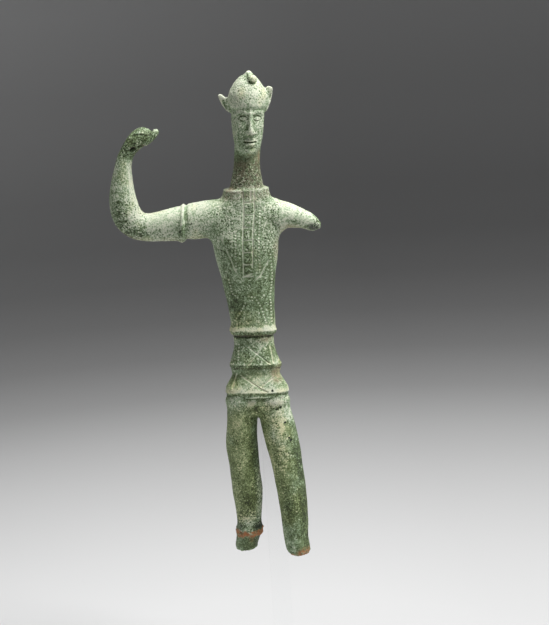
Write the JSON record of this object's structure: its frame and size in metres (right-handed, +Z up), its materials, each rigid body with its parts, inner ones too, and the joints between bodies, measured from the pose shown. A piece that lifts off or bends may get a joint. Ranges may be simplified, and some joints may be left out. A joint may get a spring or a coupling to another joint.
{
  "type": "bronze warrior statuette",
  "caption": "Slim standing bronze warrior in cap and short belted tunic, one arm raised, one broken, held upright on a clear bar and foot.",
  "frame": {"origin": "centre of the clear foot's underside, on the surface that it stands on", "axes": "+Z up, the figure faces -Y, +X is the figure's left and the viewer's right from in front"},
  "size_m": [0.1075, 0.075, 0.3014],
  "materials": {
    "green_bronze": "ancient cast bronze under a powdery green patina with brown and orange corrosion spots",
    "clear_bar_plastic": "polished clear acrylic",
    "clear_foot_plastic": "polished clear acrylic"
  },
  "bodies": {
    "root": {"bronze_warrior": "green_bronze", "clear_display_bar": "clear_bar_plastic", "clear_display_foot": "clear_foot_plastic"}
  },
  "joints": []
}
